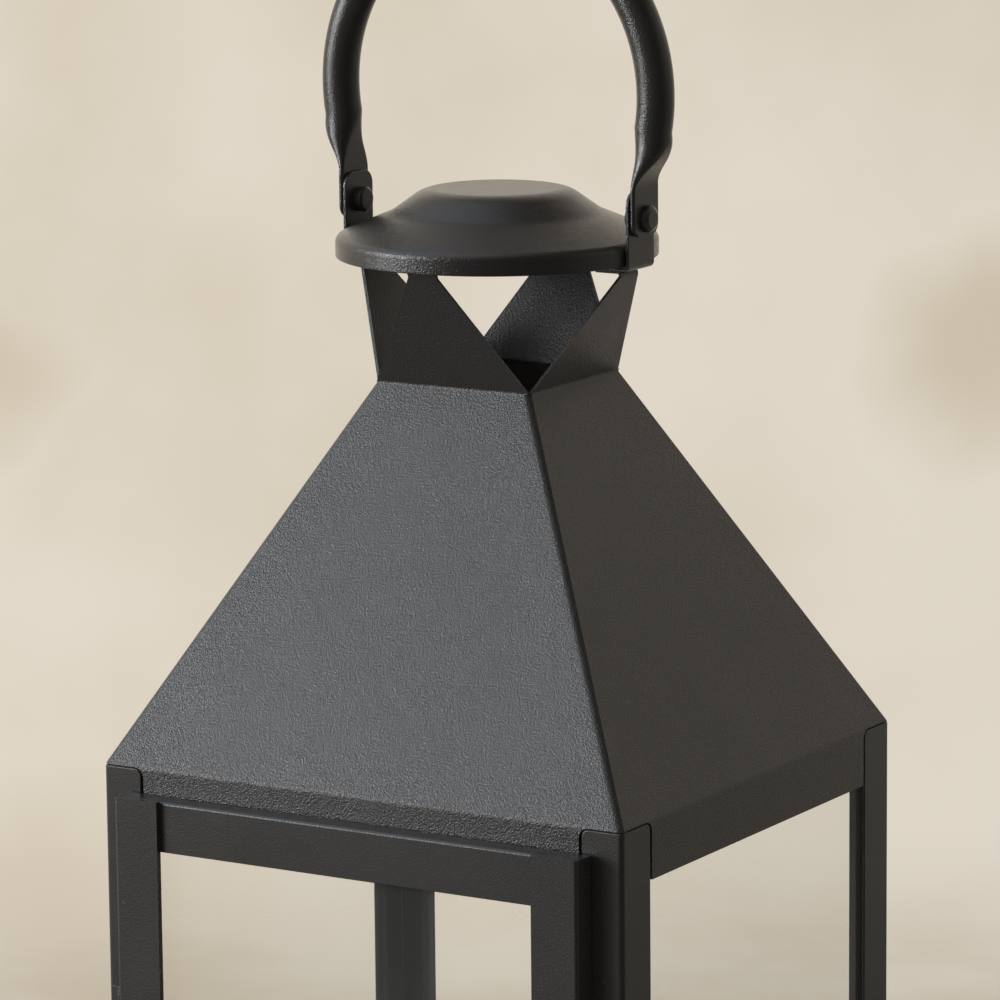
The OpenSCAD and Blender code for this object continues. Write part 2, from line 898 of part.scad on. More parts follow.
module latch_keeper() {
    back = -half_d - seat;
    lip_back = lever_front - lip_gap;
    lip_front = lip_back - lever_t;
    stop_z = latch_h + lever_w / 2 + stop_gap;
    top_z = stop_z + lever_t;
    plate_h = 15;
    lip_h = 9;
    color(steel) {
        block([keeper_in_x, back - leaf_t, top_z - plate_h], [keeper_out_x, back, top_z]);
        block([keeper_in_x, lip_front, stop_z], [keeper_out_x, back, top_z]);
        block([keeper_in_x, lip_front, top_z - lip_h], [keeper_out_x, lip_back, top_z]);
    }
}

base_tray();
post_front_left();
post_front_right();
post_back_left();
post_back_right();
head_rail_front();
head_rail_back();
head_rail_left();
head_rail_right();
roof_front();
roof_back();
roof_left();
roof_right();
chimney_cap();
bail_strap();
bail_rivet_left();
bail_rivet_right();
bail();
glass_left();
glass_right();
glass_back();
glass_clips_left();
glass_clips_right();
glass_clips_back();
door_stile_left();
door_stile_right();
door_rail_top();
door_rail_bottom();
door_glass();
door_glass_clips();
hinge_upper_frame_leaf();
hinge_upper_door_leaf();
hinge_upper_pin();
hinge_lower_frame_leaf();
hinge_lower_door_leaf();
hinge_lower_pin();
latch_lever();
latch_rivet();
latch_keeper();
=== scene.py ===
import json
import math

import bmesh
import bpy
from mathutils import Matrix, Vector, noise

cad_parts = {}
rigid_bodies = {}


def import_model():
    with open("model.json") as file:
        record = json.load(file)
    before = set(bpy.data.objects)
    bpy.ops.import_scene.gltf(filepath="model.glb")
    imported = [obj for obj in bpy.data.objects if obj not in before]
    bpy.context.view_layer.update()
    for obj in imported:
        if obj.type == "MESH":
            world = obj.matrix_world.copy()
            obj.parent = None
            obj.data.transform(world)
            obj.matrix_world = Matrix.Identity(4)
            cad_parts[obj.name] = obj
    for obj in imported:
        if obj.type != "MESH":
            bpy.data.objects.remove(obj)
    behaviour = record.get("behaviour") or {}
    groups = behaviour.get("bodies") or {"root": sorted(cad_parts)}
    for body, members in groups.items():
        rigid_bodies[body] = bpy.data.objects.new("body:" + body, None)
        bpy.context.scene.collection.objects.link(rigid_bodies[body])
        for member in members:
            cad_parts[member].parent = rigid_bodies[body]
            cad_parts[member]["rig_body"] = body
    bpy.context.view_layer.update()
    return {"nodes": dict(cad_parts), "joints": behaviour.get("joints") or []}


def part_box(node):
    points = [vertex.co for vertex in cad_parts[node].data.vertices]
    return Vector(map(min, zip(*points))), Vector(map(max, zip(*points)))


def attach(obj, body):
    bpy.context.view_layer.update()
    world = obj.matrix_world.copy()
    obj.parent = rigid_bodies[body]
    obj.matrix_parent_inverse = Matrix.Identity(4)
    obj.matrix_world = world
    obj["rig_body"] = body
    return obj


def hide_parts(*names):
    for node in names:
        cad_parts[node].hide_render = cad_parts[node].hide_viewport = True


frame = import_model()
SCENE = bpy.context.scene
MM = 0.001

CORNERS = ("front_left", "front_right", "back_left", "back_right")
SIDES = ("front", "back", "left", "right")
LEVELS = ("upper", "lower")
HINGE_PARTS = ("frame_leaf", "door_leaf", "pin")

# Pieces by finish: each list names the nodes that one material slot covers
FINISHES = {
    "frame_coat": ["base_tray"]
    + [f"post_{corner}" for corner in CORNERS]
    + [f"head_rail_{side}" for side in SIDES],
    "roof_coat": [f"roof_{side}" for side in SIDES],
    "cap_coat": ["chimney_cap"],
    "bail_coat": ["bail_strap", "bail_rivet_left", "bail_rivet_right", "bail"],
    "door_coat": ["door_stile_left", "door_stile_right", "door_rail_top", "door_rail_bottom"],
    "hardware_coat": [f"hinge_{level}_{part}" for level in LEVELS for part in HINGE_PARTS]
    + ["latch_lever", "latch_rivet", "latch_keeper"],
    "clip_steel": ["glass_clips_left", "glass_clips_right", "glass_clips_back", "door_glass_clips"],
    "pane_glass": ["glass_left", "glass_right", "glass_back", "door_glass"],
}
SLOT_OF = {node: slot for slot, nodes in FINISHES.items() for node in nodes}


# Shader maths

# Places of the colour sockets on a Mix node
MIX_A, MIX_B, MIX_RESULT = 6, 7, 2


class Socket:
    """A node's output, with the operators that the materials use on it."""

    def __init__(self, graph, output):
        self.graph = graph
        self.output = output

    def __add__(self, other):
        return self.graph.maths("ADD", self, other)

    def __sub__(self, other):
        return self.graph.maths("SUBTRACT", self, other)

    def __rsub__(self, other):
        return self.graph.maths("SUBTRACT", other, self)

    def __mul__(self, other):
        return self.graph.maths("MULTIPLY", self, other)

    def __rtruediv__(self, other):
        return self.graph.maths("DIVIDE", other, self)

    def __pow__(self, other):
        return self.graph.maths("POWER", self, other)

    __radd__ = __add__
    __rmul__ = __mul__


class Graph:
    """The node tree of a material or a world."""

    def __init__(self, owner):
        owner.use_nodes = True
        self.tree = owner.node_tree
        self.tree.nodes.clear()

    def add(self, kind, out=0, sockets=None, **settings):
        """Adds a node, its settings first, then the values or links of its sockets. Returns one output."""
        node = self.tree.nodes.new("ShaderNode" + kind)
        for key, value in settings.items():
            setattr(node, key, value)
        for key, value in (sockets or {}).items():
            socket = node.inputs[key]
            if isinstance(value, Socket):
                self.tree.links.new(value.output, socket)
            else:
                socket.default_value = (*value, 1) if socket.type == "RGBA" else value
        return Socket(self, node.outputs[out]) if len(node.outputs) else None

    def maths(self, operation, a, b, clamp=False):
        return self.add("Math", sockets={0: a, 1: b}, operation=operation, use_clamp=clamp)

    def mix(self, factor, a, b):
        """A colour between a and b."""
        return self.add("Mix", MIX_RESULT, {0: factor, MIX_A: a, MIX_B: b}, data_type="RGBA")

    def tint(self, colour, shade):
        """A colour made darker or lighter by a value."""
        return self.add("VectorMath", sockets={0: colour, "Scale": shade}, operation="SCALE")

    def step(self, value, low, high):
        """0 below low, 1 above high, and smooth between them."""
        ranges = {"Value": value, "From Min": low, "From Max": high}
        return self.add("MapRange", sockets=ranges, interpolation_type="SMOOTHSTEP")

    def stretched(self, place, share):
        """Coordinates in which a pattern is drawn out along Z."""
        return self.add("VectorMath", sockets={0: place, 1: (1, 1, share)}, operation="MULTIPLY")

    def bump(self, height):
        """The normal of a surface whose unevenness is a height in metres."""
        return self.add("Bump", sockets={"Strength": 1.0, "Distance": 1.0, "Height": height})

    def noise(self, place, size, detail, seed=0.0):
        """Soft noise from 0 to 1 whose features are about size across."""
        shifted = self.add("VectorMath", sockets={0: place, 1: (seed, 2 * seed, 3 * seed)}, operation="ADD")
        return self.add("TexNoise", sockets={"Vector": shifted, "Scale": 1 / size, "Detail": detail})

    def parts(self, vector):
        """The X, Y and Z of a vector."""
        node = self.add("SeparateXYZ", sockets={0: vector}).output.node
        return [Socket(self, output) for output in node.outputs]

    def surface(self, shader, kind="OutputMaterial"):
        self.add(kind, sockets={"Surface": shader})


def material_graph(name):
    material = bpy.data.materials.new(name)
    return material, Graph(material)


# Finishes

# Sizes of the marks in the powder coat: its flow pattern, the grain on it, the sway of the sheet,
# clouds and smears of dust, and single specks
PEEL_SIZE = 0.60 * MM
GRAIN_SIZE = 0.33 * MM
SWAY_SIZE = 55 * MM
CLOUD_SIZE = 70 * MM
SMEAR_SIZE = 24 * MM
SPECK_SIZE = 2.6 * MM

# Most that a film of dust and a speck cover where a coat is fully dusty, the roughness
# that specks add, and how far the coat's shade and roughness stray
FILM_COVER, SPECK_COVER = 0.12, 0.35
SPECK_ROUGH = 0.4
SHADE_STRAY, ROUGH_STRAY = 0.5, 0.10

# Galvanised steel: sizes of its marks, the depth of its rolling lines, its shade and roughness,
# and what its flakes and dull patches add to them
LINE_SIZE = 0.25 * MM
SPANGLE_SIZE = 3 * MM
DULL_SIZE = 5 * MM
LINE_DEPTH = 0.006 * MM
STEEL_SHADE, FLAKE_SHADE = 0.85, 0.25
STEEL_ROUGH, FLAKE_ROUGH, DULL_ROUGH = 0.24, 0.12, 0.16

# Glass: sizes of its haze and streaks, the share of the light that it reflects
# when it is seen square on, its roughness, and what a film of dust adds to both
HAZE_SIZE = 45 * MM
STREAK_SIZE = 12 * MM
GLASS_SHINE, FILM_SHINE = 0.024, 0.01
GLASS_ROUGH, FILM_ROUGH = 0.015, 0.05

# A pane's edge: sizes of its scratches and tones, the scratches' depth, its roughness,
# and what the scratches add to it
SCRATCH_SIZE = 0.4 * MM
TONE_SIZE = 14 * MM
SCRATCH_DEPTH = 0.01 * MM
EDGE_ROUGH, SCRATCH_ROUGH = 0.28, 0.25

# Colours
COAT_BLACK = (0.017, 0.0163, 0.0157)
DUST = (0.16, 0.145, 0.125)
GALVANISED = (0.46, 0.46, 0.45)
DULL_ZINC = (0.30, 0.295, 0.28)
PANE_CLEAR = (0.997, 0.995, 0.988)
# Grey of the glass's faint diffuse layer: partly a dusty haze, partly a painted reflection of the bright
# room behind the camera
PANE_HAZE_AND_REFLECTION = (0.66, 0.67, 0.66)
PANE_DUST = (0.78, 0.77, 0.74)
EDGE_DARK = (0.020, 0.027, 0.025)
EDGE_PALE = (0.055, 0.066, 0.062)


def powder_coat(name, seed, roughness, peel=0.065, grain=0.032, sway=0.10, dust=0.5):
    """Satin black powder coat. Peel, grain and sway are the depths of its unevenness in millimetres."""
    material, g = material_graph(name)
    place = g.add("TexCoord", "Object")
    peel_marks = g.noise(place, PEEL_SIZE, 1.5, seed)
    grain_marks = g.noise(place, GRAIN_SIZE, 1, seed)
    sways = g.noise(place, SWAY_SIZE, 0, seed)
    clouds = g.noise(place, CLOUD_SIZE, 3, seed + 1)
    smears = g.noise(place, SMEAR_SIZE, 4, seed + 2)
    specks = g.noise(place, SPECK_SIZE, 2, seed + 3)

    up = g.parts(g.add("NewGeometry", "Normal"))[2]
    film = g.step(up, 0.25, 1.0) * g.step(clouds + 0.4 * smears, 0.5, 0.95) * (FILM_COVER * dust)
    settled = g.step(specks, 0.72, 0.80) * (SPECK_COVER * dust)
    shade = (clouds - 0.5) * SHADE_STRAY + (grain_marks - 0.5) * SHADE_STRAY + 1
    colour = g.mix(g.maths("ADD", film, settled, clamp=True), g.tint(COAT_BLACK, shade), DUST)
    rough = (smears - 0.5) * ROUGH_STRAY + (grain_marks - 0.5) * ROUGH_STRAY
    rough = rough + settled * SPECK_ROUGH + roughness
    height = peel_marks * (peel * MM) + grain_marks * (grain * MM) + sways * (sway * MM)
    sockets = {"Base Color": colour, "Roughness": rough, "Normal": g.bump(height)}
    g.surface(g.add("BsdfPrincipled", sockets=sockets))
    return material


def clip_steel():
    """Galvanised spring steel: a pale spangle, fine rolling lines and dull patches."""
    material, g = material_graph("clip_steel")
    place = g.add("TexCoord", "Object")
    lines = g.noise(g.stretched(place, 0.05), LINE_SIZE, 3)
    spangle = g.add("TexVoronoi", "Color", {"Vector": place, "Scale": 1 / SPANGLE_SIZE})
    flake = g.parts(spangle)[0]
    dull = g.noise(place, DULL_SIZE, 3, 4)
    colour = g.mix(dull, g.tint(GALVANISED, flake * FLAKE_SHADE + STEEL_SHADE), DULL_ZINC)
    rough = flake * FLAKE_ROUGH + dull * DULL_ROUGH + STEEL_ROUGH
    normal = g.bump(lines * LINE_DEPTH)
    sockets = {"Base Color": colour, "Roughness": rough, "Metallic": 1.0, "Normal": normal}
    g.surface(g.add("BsdfPrincipled", sockets=sockets))
    return material


def pane_glass():
    """Clear float glass: it shows what is behind it, and reflects more at a glancing look. A faint grey
    layer on it is partly dusty haze and partly a painted reflection of a bright room.
    """
    material, g = material_graph("pane_glass")
    place = g.add("TexCoord", "Object")
    haze = g.noise(place, HAZE_SIZE, 4, 2)
    streaks = g.noise(g.stretched(place, 0.25), STREAK_SIZE, 3, 5)
    film = g.step(haze * 0.6 + streaks * 0.4, 0.42, 0.75)
    clear = g.add("BsdfTransparent", sockets={"Color": PANE_CLEAR})
    facing = g.add("LayerWeight", "Facing", {"Blend": 0.5})
    mirrored = facing ** 5 * (1 - GLASS_SHINE) + GLASS_SHINE
    # The glass's faint grey layer, paler where the dust film lies: partly real haze, partly a painted
    # reflection of a bright room
    haze_and_reflection = g.mix(film, PANE_HAZE_AND_REFLECTION, PANE_DUST)
    shine = g.add("BsdfPrincipled", sockets={
        "Base Color": g.tint(haze_and_reflection, GLASS_SHINE / mirrored),
        "Roughness": film * FILM_ROUGH + GLASS_ROUGH,
        "Specular IOR Level": 1.0,
    })
    g.surface(g.add("MixShader", sockets={0: mirrored + film * FILM_SHINE, 1: clear, 2: shine}))
    return material


def pane_edge():
    """Ground edge of a pane: dark, a little green in its depth, and frosted by fine scratches."""
    material, g = material_graph("pane_edge")
    place = g.add("TexCoord", "Object")
    scratches = g.noise(g.stretched(place, 0.2), SCRATCH_SIZE, 3)
    tone = g.noise(place, TONE_SIZE, 3, 3)
    colour = g.mix(tone, EDGE_DARK, EDGE_PALE)
    normal = g.bump(scratches * SCRATCH_DEPTH)
    rough = scratches * SCRATCH_ROUGH + EDGE_ROUGH
    sockets = {"Base Color": colour, "Roughness": rough, "Normal": normal}
    g.surface(g.add("BsdfPrincipled", sockets=sockets))
    return material


MATERIALS = {
    "frame_coat": powder_coat("frame_coat", seed=1, roughness=0.31),
    "roof_coat": powder_coat("roof_coat", seed=2, roughness=0.30, peel=0.21, grain=0.15, sway=0.16),
    "cap_coat": powder_coat("cap_coat", seed=3, roughness=0.17, peel=0.16, grain=0.11, sway=0.06, dust=0.15),
    "bail_coat": powder_coat("bail_coat", seed=4, roughness=0.17, peel=0.12, grain=0.09, sway=0.03),
    "door_coat": powder_coat("door_coat", seed=5, roughness=0.31),
    "hardware_coat": powder_coat("hardware_coat", seed=6, roughness=0.34, peel=0.05, sway=0.0),
    "clip_steel": clip_steel(),
    "pane_glass": pane_glass(),
}
PANE_EDGE = pane_edge()


# Making pieces

# A fold counts as a hard edge, to be softened, past this angle
HARD_EDGE = math.radians(33)

# Points closer than this are one, and faces within this angle are flat together
WELD = 0.002 * MM
FLAT = math.radians(0.4)


def piece(bm, node):
    """Makes a mesh the finished piece that stands for a node: it rides where the node rides."""
    name = f"{node}_finished"
    mesh = bpy.data.meshes.new(name)
    for face in bm.faces:
        face.smooth = True
    bm.to_mesh(mesh)
    bm.free()
    made = bpy.data.objects.new(name, mesh)
    SCENE.collection.objects.link(made)
    mesh.materials.append(MATERIALS[SLOT_OF[node]])
    made.modifiers.new("even_normals", "WEIGHTED_NORMAL").keep_sharp = True
    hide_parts(node)
    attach(made, frame["nodes"][node]["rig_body"])
    return made


def merged_copy(node):
    """A node's mesh with its triangles joined into the faces that they share."""
    bm = bmesh.new()
    bm.from_mesh(frame["nodes"][node].data)
    bmesh.ops.remove_doubles(bm, verts=bm.verts, dist=WELD)
    bmesh.ops.dissolve_limit(bm, angle_limit=FLAT, verts=bm.verts, edges=bm.edges)
    return bm


def soften(bm, radius):
    """Rounds the hard edges, as a coat of powder does."""
    hard = [
        edge for edge in bm.edges
        if len(edge.link_faces) == 2 and edge.calc_face_angle() > HARD_EDGE
    ]
    bmesh.ops.bevel(
        bm, geom=hard, offset=radius * MM, affect="EDGES", segments=2,
        profile=0.5, material=-1, clamp_overlap=True,
    )


# Radius of a plain edge
PLAIN_EDGE = 0.28


def coated(node, radius):
    """A node's own shape with the soft edges of coated sheet."""
    bm = merged_copy(node)
    soften(bm, radius)
    piece(bm, node)


# The hip edges of the front and back panels are rolled over the side panels':
# radius of the roll, how much deeper than the sheet it reaches, and where that starts
HIP_ROLL = 2.1
HIP_DEPTH = 0.95
HIP_START = 3.6

# Radius of these panels' other edges
PANEL_EDGE = 0.25

# Height at which the roof's slopes meet the chimney flaps
NECK_Z = 425.7


def largest(faces):
    """The face with the greatest area."""
    return max(faces, key=lambda face: face.calc_area())


def below_neck(face):
    """Whether a face belongs to a slope and not to its chimney flap."""
    return face.calc_center_median().z < NECK_Z * MM


def rolled_panel(node):
    """A front or back roof panel with rolled hip edges."""
    bm = merged_copy(node)
    outward = largest(face for face in bm.faces if face.normal.z > 0.2).normal.copy()
    for sign in (-1, 1):
        # The narrow face along a hip looks up and to its side
        hip = largest(
            face for face in bm.faces
            if face.normal.x * sign > 0.8 and face.normal.z > 0.4 and below_neck(face)
        )
        across = hip.normal.copy()
        start = hip.verts[0].co - across * (HIP_START * MM)
        everything = bm.verts[:] + bm.edges[:] + bm.faces[:]
        bmesh.ops.bisect_plane(bm, geom=everything, plane_co=start, plane_no=across, dist=WELD / 2)
        hip = largest(face for face in bm.faces if face.normal.dot(across) > 0.999 and below_neck(face))
        outer = [
            edge for edge in hip.edges
            if any(face is not hip and face.normal.dot(outward) > 0.8 for face in edge.link_faces)
        ]
        outer_verts = {vert for edge in outer for vert in edge.verts}
        for vert in hip.verts:
            if vert not in outer_verts:
                vert.co -= outward * (HIP_DEPTH * MM)
        bmesh.ops.bevel(
            bm, geom=outer, offset=HIP_ROLL * MM, affect="EDGES", segments=6,
            profile=0.5, material=-1, clamp_overlap=False,
        )
    soften(bm, PANEL_EDGE)
    piece(bm, node)


# How much higher the head rails reach inside the eave's bend, and the radius of their edges
RAIL_RISE = 0.6
RAIL_EDGE = 0.2


def head_rail(node):
    """A head rail whose top fits up into the eave, so that no light shows over the posts."""
    bm = merged_copy(node)
    top = max(vert.co.z for vert in bm.verts)
    for vert in bm.verts:
        if vert.co.z > top - MM:
            vert.co.z += RAIL_RISE * MM
    soften(bm, RAIL_EDGE)
    piece(bm, node)


# Radius of a pane's ground edges
PANE_ARRIS = 0.35


def pane(node):
    """A pane with arrised edges in their own finish."""
    bm = merged_copy(node)
    flat = largest(bm.faces).normal.copy()
    soften(bm, PANE_ARRIS)
    for face in bm.faces:
        face.material_index = 0 if abs(face.normal.dot(flat)) > 0.99 else 1
    piece(bm, node).data.materials.append(PANE_EDGE)


def spun(profile, steps):
    """Spins an outline, given as (radius, height) in millimetres, round the Z axis."""
    bm = bmesh.new()
    points = [bm.verts.new((radius * MM, 0, height * MM)) for radius, height in profile]
    edges = [bm.edges.new(pair) for pair in zip(points, points[1:])]
    bmesh.ops.spin(
        bm, geom=points + edges, cent=(0, 0, 0), axis=(0, 0, 1),
        angle=math.tau, steps=steps, use_merge=True,
    )
    bmesh.ops.remove_doubles(bm, verts=bm.verts, dist=WELD)
    bmesh.ops.recalc_face_normals(bm, faces=bm.faces)
    return bm


def rounded(corners, steps):
    """An outline through (across, up, radius) corners, with an arc of that radius at each."""
    points = [Vector(corners[0][:2])]
    for before, corner, after in zip(corners, corners[1:], corners[2:]):
        middle = Vector(corner[:2])
        back = (Vector(before[:2]) - middle).normalized()
        ahead = (Vector(after[:2]) - middle).normalized()
        half = back.angle(ahead) / 2
        radius = corner[2]
        if radius == 0:
            points.append(middle)
            continue
        centre = middle + (back + ahead).normalized() * (radius / math.sin(half))
        start = middle + back * (radius / math.tan(half)) - centre
        turn = math.copysign(math.pi - 2 * half, back.cross(ahead) * -1)
        for i in range(steps + 1):
            angle = turn * i / steps
            points.append(centre + Matrix.Rotation(angle, 2) @ start)
    points.append(Vector(corners[-1][:2]))
    return points


# Cap, spun from one sheet

# Thickness of the sheet, radius of the rim's edges, and the height of the band that holds them
SHEET = 1.0
RIM_EDGE = 0.42
RIM_BAND = 2

# Shoulder over the rim, valley and crown: their heights above the rim's lower edge,
# their radii, and the radii of the bends there
SHOULDER_RISE, VALLEY_RISE = 7.2, 15
VALLEY_R, CROWN_R = 35.4, 24.5
SHOULDER_BEND, VALLEY_BEND, CROWN_BEND = 3, 14, 12


def chimney_cap():
    """The sheet's outer side, spun and then given its thickness."""
    low, high = (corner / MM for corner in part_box("chimney_cap"))
    rim, top, rim_z = high.x, high.z, low.z
    outer = rounded([
        (rim, rim_z + SHEET / 2, 0),
        (rim, rim_z + SHOULDER_RISE, SHOULDER_BEND),
        (VALLEY_R, rim_z + VALLEY_RISE, VALLEY_BEND),
        (CROWN_R, top, CROWN_BEND),
        (0, top, 0),
    ], steps=14)
    bm = spun([tuple(point) for point in outer], steps=160)
    if min(face.normal.z for face in bm.faces if face.calc_center_median().z / MM > top - 0.1) < 0:
        bmesh.ops.reverse_faces(bm, faces=bm.faces)
    bmesh.ops.solidify(bm, geom=bm.faces[:], thickness=SHEET * MM)
    rim_edges = [
        edge for edge in bm.edges
        if edge.calc_face_angle(0) > HARD_EDGE and edge.verts[0].co.z / MM < rim_z + RIM_BAND
    ]
    bmesh.ops.bevel(
        bm, geom=rim_edges, offset=RIM_EDGE * MM, affect="EDGES", segments=3,
        profile=0.5, material=-1, clamp_overlap=True,
    )
    piece(bm, "chimney_cap")


# Bail: a round tube whose ends are pressed flat

# Points round the tube, its radius, and how far below the ring's middle the legs start
BAIL_SIDES = 48
TUBE_R = 6.25
LEG_ANGLE = math.radians(10)

# Pressed end: X of the middle of its thickness, half its thickness, and radius of its tip's corners
BLADE_X = 56.55
BLADE_HALF_T = 0.9
TIP_CORNER = 4

# Heights above the pivot: the pressed end's top, where the leg's inner side starts to lean in,
# and where the leg is round
FLAT_RISE, LEAN_RISE, ROUND_RISE = 9.6, 17, 28

# Heights above the pivot of the pressed end's sections over its tip,
# and the numbers of sections along the tip's corner, the leg and the ring
END_RISES = (-0.8, 3, 6.5, 9)
TIP_STEPS, LEG_STEPS, RING_STEPS = 8, 26, 120

# How sharply the leg's width follows the pressing, and how much higher
# the fold above a pressed end is at its back edge than at its front edge
WIDTH_CURVE = 1.4
FOLD_SLANT = 0.8


def smooth(share):
    """A share from 0 to 1 that starts and ends gently."""
    return share * share * (3 - 2 * share)


def bail_sections():
    """Sections from one tip to the other, in millimetres. Each has its centre, its outward
    direction, half its thickness and half its width."""
    low, high = (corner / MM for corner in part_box("bail"))
    pivot = next(j for j in frame["joints"] if j["name"] == "bail_swing")["pos_m"][2] / MM
    ring_r = high.x - TUBE_R
    ring_z = high.z - TUBE_R - ring_r
    blade_half = high.y
    flat_top, lean_start, round_top = (pivot + rise for rise in (FLAT_RISE, LEAN_RISE, ROUND_RISE))

    leg_end = Vector((ring_r * math.cos(LEG_ANGLE), ring_z - ring_r * math.sin(LEG_ANGLE)))
    right = []
    for i in range(TIP_STEPS + 1):
        angle = math.radians(90) * i / TIP_STEPS
        half = blade_half - TIP_CORNER + TIP_CORNER * math.sin(angle)
        height = low.z + TIP_CORNER - TIP_CORNER * math.cos(angle)
        right.append((Vector((BLADE_X, height)), 0.0, BLADE_HALF_T, half))
    for rise in END_RISES:
        right.append((Vector((BLADE_X, pivot + rise)), 0.0, BLADE_HALF_T, blade_half))
    for i in range(LEG_STEPS):
        share = i / LEG_STEPS
        height = flat_top + (leg_end.y - flat_top) * share
        pressed = max(0.0, (round_top - height) / (round_top - flat_top))
        thick = TUBE_R + (BLADE_HALF_T - TUBE_R) * smooth(pressed)
        wide = TUBE_R + (blade_half - TUBE_R) * pressed ** WIDTH_CURVE
        lean = smooth(max(0.0, (height - lean_start) / (leg_end.y - lean_start)))
        inner = BLADE_X - BLADE_HALF_T + (leg_end.x - TUBE_R - BLADE_X + BLADE_HALF_T) * lean
        right.append((Vector((inner + thick, height)), -LEG_ANGLE * share, thick, wide))
    ring = []
    for i in range(RING_STEPS + 1):
        angle = -LEG_ANGLE + (math.pi + 2 * LEG_ANGLE) * i / RING_STEPS
        centre = Vector((0, ring_z)) + ring_r * Vector((math.cos(angle), math.sin(angle)))
        ring.append((centre, angle, TUBE_R, TUBE_R))
    left = [
        (Vector((-centre.x, centre.y)), math.pi - angle, thick, wide)
        for centre, angle, thick, wide in reversed(right)
    ]
    return right + ring + left


def bail():
    """A cylinder whose rings of points are laid on the sections."""
    sections = bail_sections()
    blade_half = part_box("bail")[1].y
    # The fold is where the leg starts to thicken; round_z is where it has nearly all its thickness
    fold_z = min(section[0].y for section in sections if section[2] > 1)
    round_z = min(section[0].y for section in sections if section[2] > TUBE_R - 0.05)
    bm = bmesh.new()
    count = len(sections) - 1
    bmesh.ops.create_cone(
        bm, cap_ends=True, cap_tris=False, segments=BAIL_SIDES, radius1=1, radius2=1, depth=count,
    )
    upright = [edge for edge in bm.edges if abs(edge.verts[0].co.z - edge.verts[1].co.z) > 0.5]
    bmesh.ops.subdivide_edges(bm, edges=upright, cuts=count - 1, use_grid_fill=True)
    for vert in bm.verts:
        centre, angle, thick, wide = sections[round(vert.co.z + count / 2)]
        out = Vector((math.cos(angle), math.sin(angle)))
        flat = math.copysign(wide - thick, vert.co.y) if abs(vert.co.y) > 0.01 else 0
        place = centre + out * (thick * vert.co.x)
        across = thick * vert.co.y + flat
        rise = max(0.0, 1 - abs(centre.y - fold_z) / (round_z - fold_z))
        slant = FOLD_SLANT / 2 * (1 + across * MM / blade_half) * rise
        vert.co = Vector((place.x, across, place.y + slant)) * MM
    bmesh.ops.recalc_face_normals(bm, faces=bm.faces)
    if bm.calc_volume(signed=True) < 0:
        bmesh.ops.reverse_faces(bm, faces=bm.faces)
    piece(bm, "bail")


# Bail rivets, with heads that a hammer has closed

# Heights of a rivet's two heads, how much smaller the inner one is, and the shank's radius
INNER_HEAD = 3.2
OUTER_HEAD = 2.5
HEAD_STEP = 0.2
SHANK_R = 2.5

# Dents in the heads: how many to a millimetre across and along the axis, how deep they are
# as a share of the radius, and the share that the hammer takes off all round
DENTS_ACROSS, DENTS_ALONG = 0.42, 0.5
DENT_DEPTH = 0.05
HAMMER_LOSS = 0.012


def bail_rivet(side):
    """A rivet spun from its outline, dented and laid on its side."""
    node = f"bail_rivet_{side}"
    sign = 1 if side == "right" else -1
    low, high = (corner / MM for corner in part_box(node))
    inner, outer = (low.x, high.x) if sign > 0 else (-high.x, -low.x)
    head_r = (high.z - low.z) / 2
    centre_z = (high.z + low.z) / 2
    ear_in, blade_out = inner + INNER_HEAD, outer - OUTER_HEAD
    profile = rounded([
        (0, inner, 0),
        (head_r - 0.9, inner, 0.6),
        (head_r - HEAD_STEP, inner + 0.7, 0.5),
        (head_r - HEAD_STEP, ear_in, 0.1),
        (SHANK_R, ear_in, 0),
        (SHANK_R, blade_out, 0),
        (head_r, blade_out, 0.1),
        (head_r, outer - 0.8, 0.7),
        (head_r - 1.4, outer, 0.6),
        (0, outer, 0),
    ], steps=4)
    bm = spun([tuple(point) for point in profile], steps=40)
    for vert in bm.verts:
        point = vert.co / MM
        if math.hypot(point.x, point.y) > SHANK_R + 0.1:
            spot = (point.x * DENTS_ACROSS * sign, point.y * DENTS_ACROSS, point.z * DENTS_ALONG)
            share = 1 + DENT_DEPTH * noise.noise(Vector(spot)) - HAMMER_LOSS
            vert.co.x *= share
            vert.co.y *= share
    turn = Matrix.Translation((0, 0, centre_z * MM)) @ Matrix.Rotation(math.radians(90) * sign, 4, "Y")
    bmesh.ops.transform(bm, matrix=turn, verts=bm.verts)
    bmesh.ops.recalc_face_normals(bm, faces=bm.faces)
    piece(bm, node)


# All pieces

# Radii of softened edges in millimetres, where they differ from the plain one
EDGE_RADIUS = {"clip_steel": 0.2, "hardware_coat": 0.2, "door_coat": 0.42, "frame_coat": 0.42}

# Nodes whose pieces keep only the place and the extent of their CAD shapes
MADE_ANEW = {"chimney_cap", "bail", "bail_rivet_left", "bail_rivet_right"}

chimney_cap()
bail()
bail_rivet("left")
bail_rivet("right")
for node, slot in SLOT_OF.items():
    if slot == "pane_glass":
        pane(node)
    elif node in ("roof_front", "roof_back"):
        rolled_panel(node)
    elif node.startswith("head_rail"):
        head_rail(node)
    elif node not in MADE_ANEW:
        coated(node, EDGE_RADIUS.get(slot, PLAIN_EDGE))


# Camera, light and setting

# The camera's direction in degrees, right of the door and above level, its roll, place and lens
CAMERA_AZIMUTH, CAMERA_ELEVATION, CAMERA_ROLL = 31.283, 10.529, -0.555
CAMERA_PLACE = (0.9378, -1.5432, 0.7188)
CAMERA_LENS = 196.585


def direction(azimuth, elevation):
    """The way that lies azimuth right of the door and elevation above level, both in radians."""
    return Vector((
        math.sin(azimuth) * math.cos(elevation),
        -math.cos(azimuth) * math.cos(elevation),
        math.sin(elevation),
    ))


